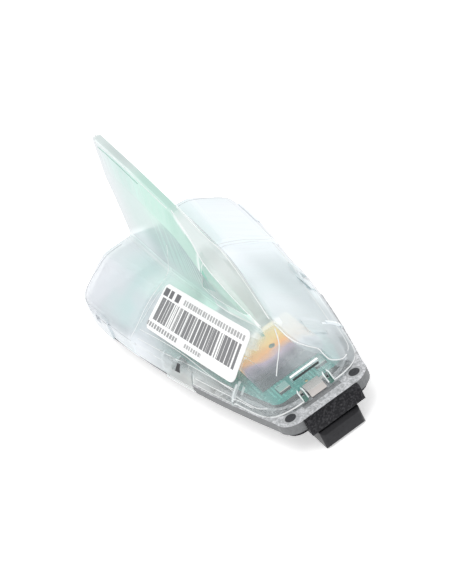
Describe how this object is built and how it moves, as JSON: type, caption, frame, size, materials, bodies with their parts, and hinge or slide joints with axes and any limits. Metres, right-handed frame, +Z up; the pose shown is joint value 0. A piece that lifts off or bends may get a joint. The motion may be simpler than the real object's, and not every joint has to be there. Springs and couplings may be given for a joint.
{
  "type": "car roof antenna",
  "caption": "Roof antenna: clear fin cover over circuit boards and a patch aerial on a cast base, with rubber seal, threaded neck and coax sockets.",
  "frame": {"origin": "axis of the fixing thread at the roof skin, the plane of the seal's underside", "axes": "+X towards the nose along the vehicle, +Z up out of the roof, +Y to the left side"},
  "size_m": [0.1433, 0.0758, 0.0775],
  "materials": {
    "cast_metal": "satin",
    "seal_rubber": "matte",
    "black_plastic": "matte",
    "brass": "satin",
    "contact_metal": "polished",
    "screw_steel": "satin",
    "board_green": "satin",
    "fin_board_green": "satin",
    "ceramic": "satin",
    "patch_metal": "satin",
    "tinned_sheet": "satin",
    "chip_black": "matte",
    "pad_white": "matte",
    "clear_plastic": "frosted",
    "label_white": "satin"
  },
  "bodies": {
    "root": {"base_casting": "cast_metal", "thread_insert": "brass", "roof_seal": "seal_rubber", "connector_housing": "black_plastic", "coax_shells": "contact_metal", "coax_contacts": "contact_metal", "housing_screws": "screw_steel", "main_board": "board_green", "board_screws": "screw_steel", "ground_springs": "contact_metal", "patch_pad": "pad_white", "patch_ceramic": "ceramic", "patch_face": "patch_metal", "patch_feed_pin": "tinned_sheet", "amplifier_can": "tinned_sheet", "tuner_can": "tinned_sheet", "filter_blocks": "ceramic", "chip_packages": "chip_black", "capacitors": "tinned_sheet", "fin_board": "fin_board_green", "fin_board_clips": "chip_black", "fin_board_pins": "tinned_sheet", "clear_cover": "clear_plastic", "cover_label": "label_white"}
  },
  "joints": []
}
